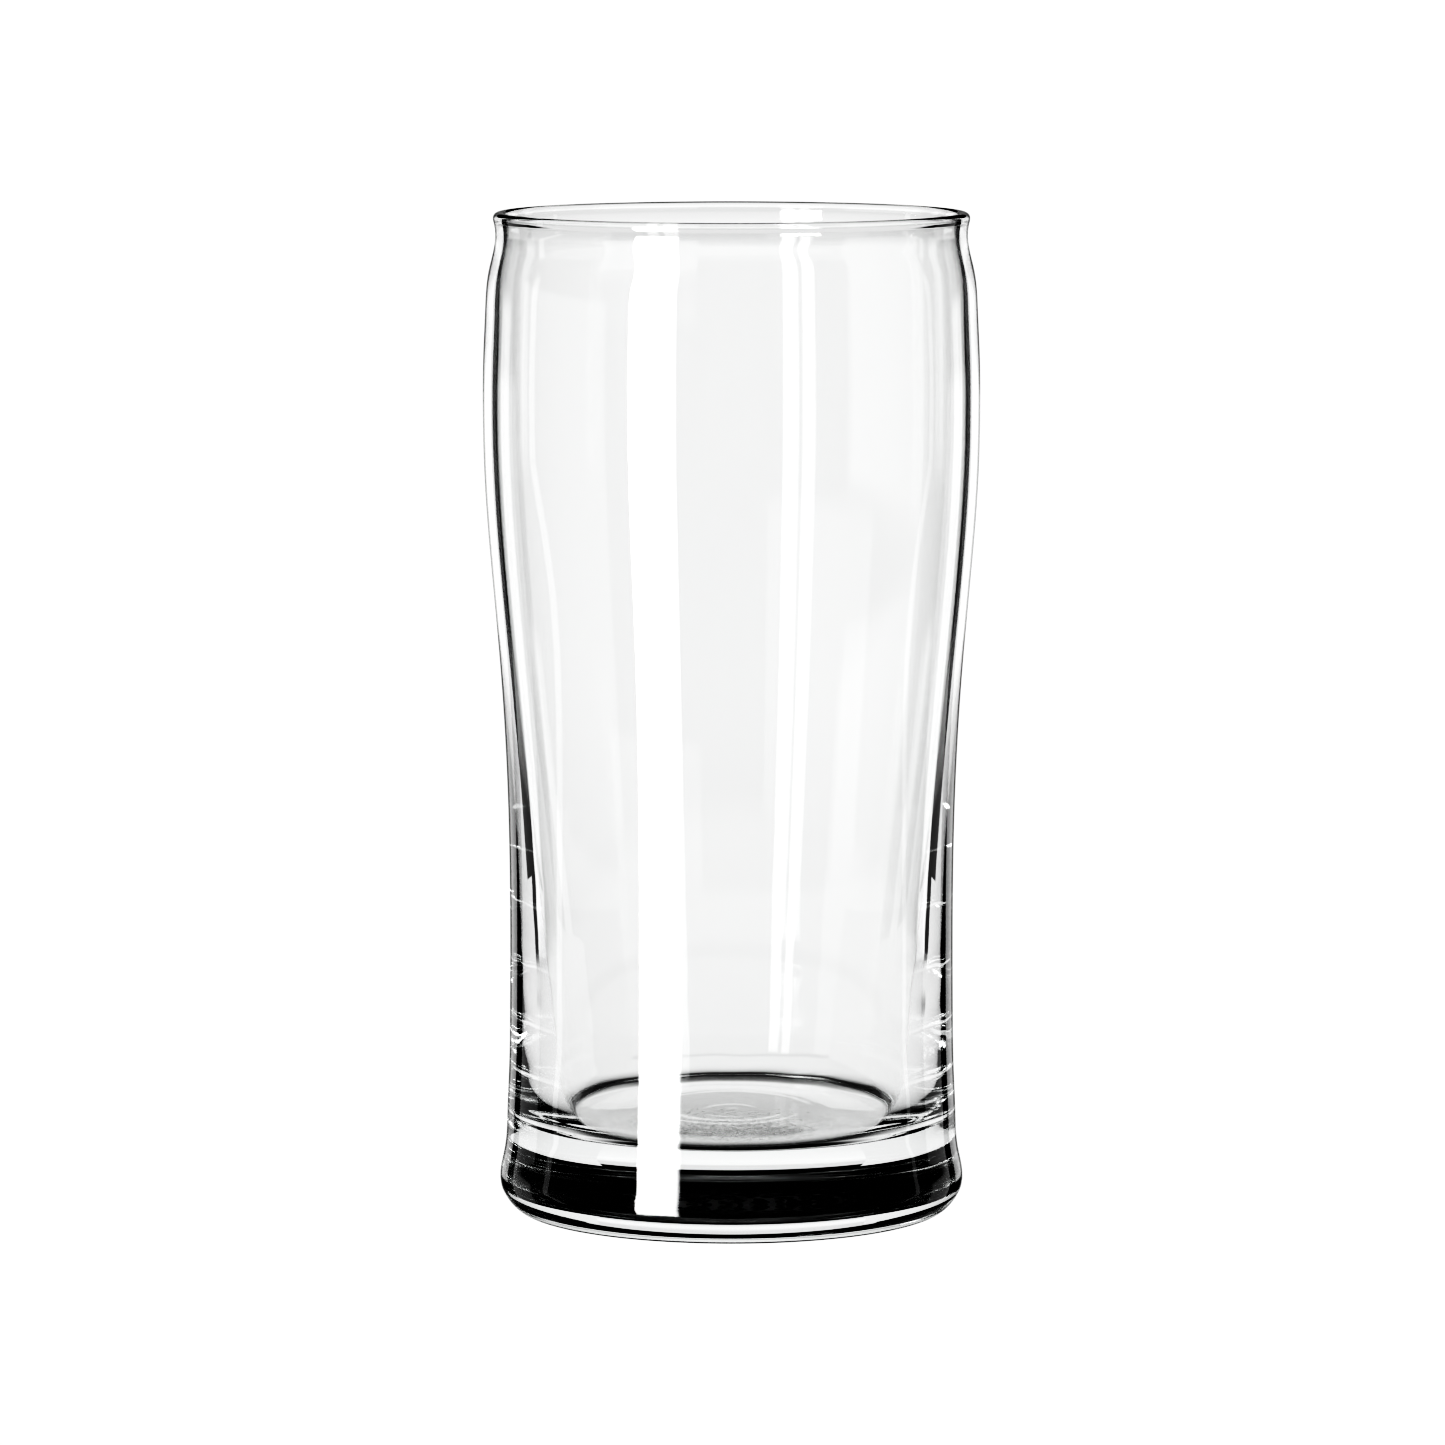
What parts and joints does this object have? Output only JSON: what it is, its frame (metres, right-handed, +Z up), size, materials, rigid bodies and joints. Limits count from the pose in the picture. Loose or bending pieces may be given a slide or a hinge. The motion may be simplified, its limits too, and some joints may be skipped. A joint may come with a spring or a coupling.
{
  "type": "pint glass",
  "caption": "Tall clear tumbler with a gentle waist, a belly below the rolled lip, and a thick solid round-edged base.",
  "frame": {"origin": "centre of the standing ring, on the surface the glass stands on", "axes": "+Z up along the axis of the glass, from its base to its mouth; +X and +Y are any two level directions, because the glass is turned"},
  "size_m": [0.077, 0.077, 0.1558],
  "materials": {
    "clear_glass": "fire-polished clear soda-lime glass"
  },
  "bodies": {
    "root": {"glass_body": "clear_glass"}
  },
  "joints": []
}
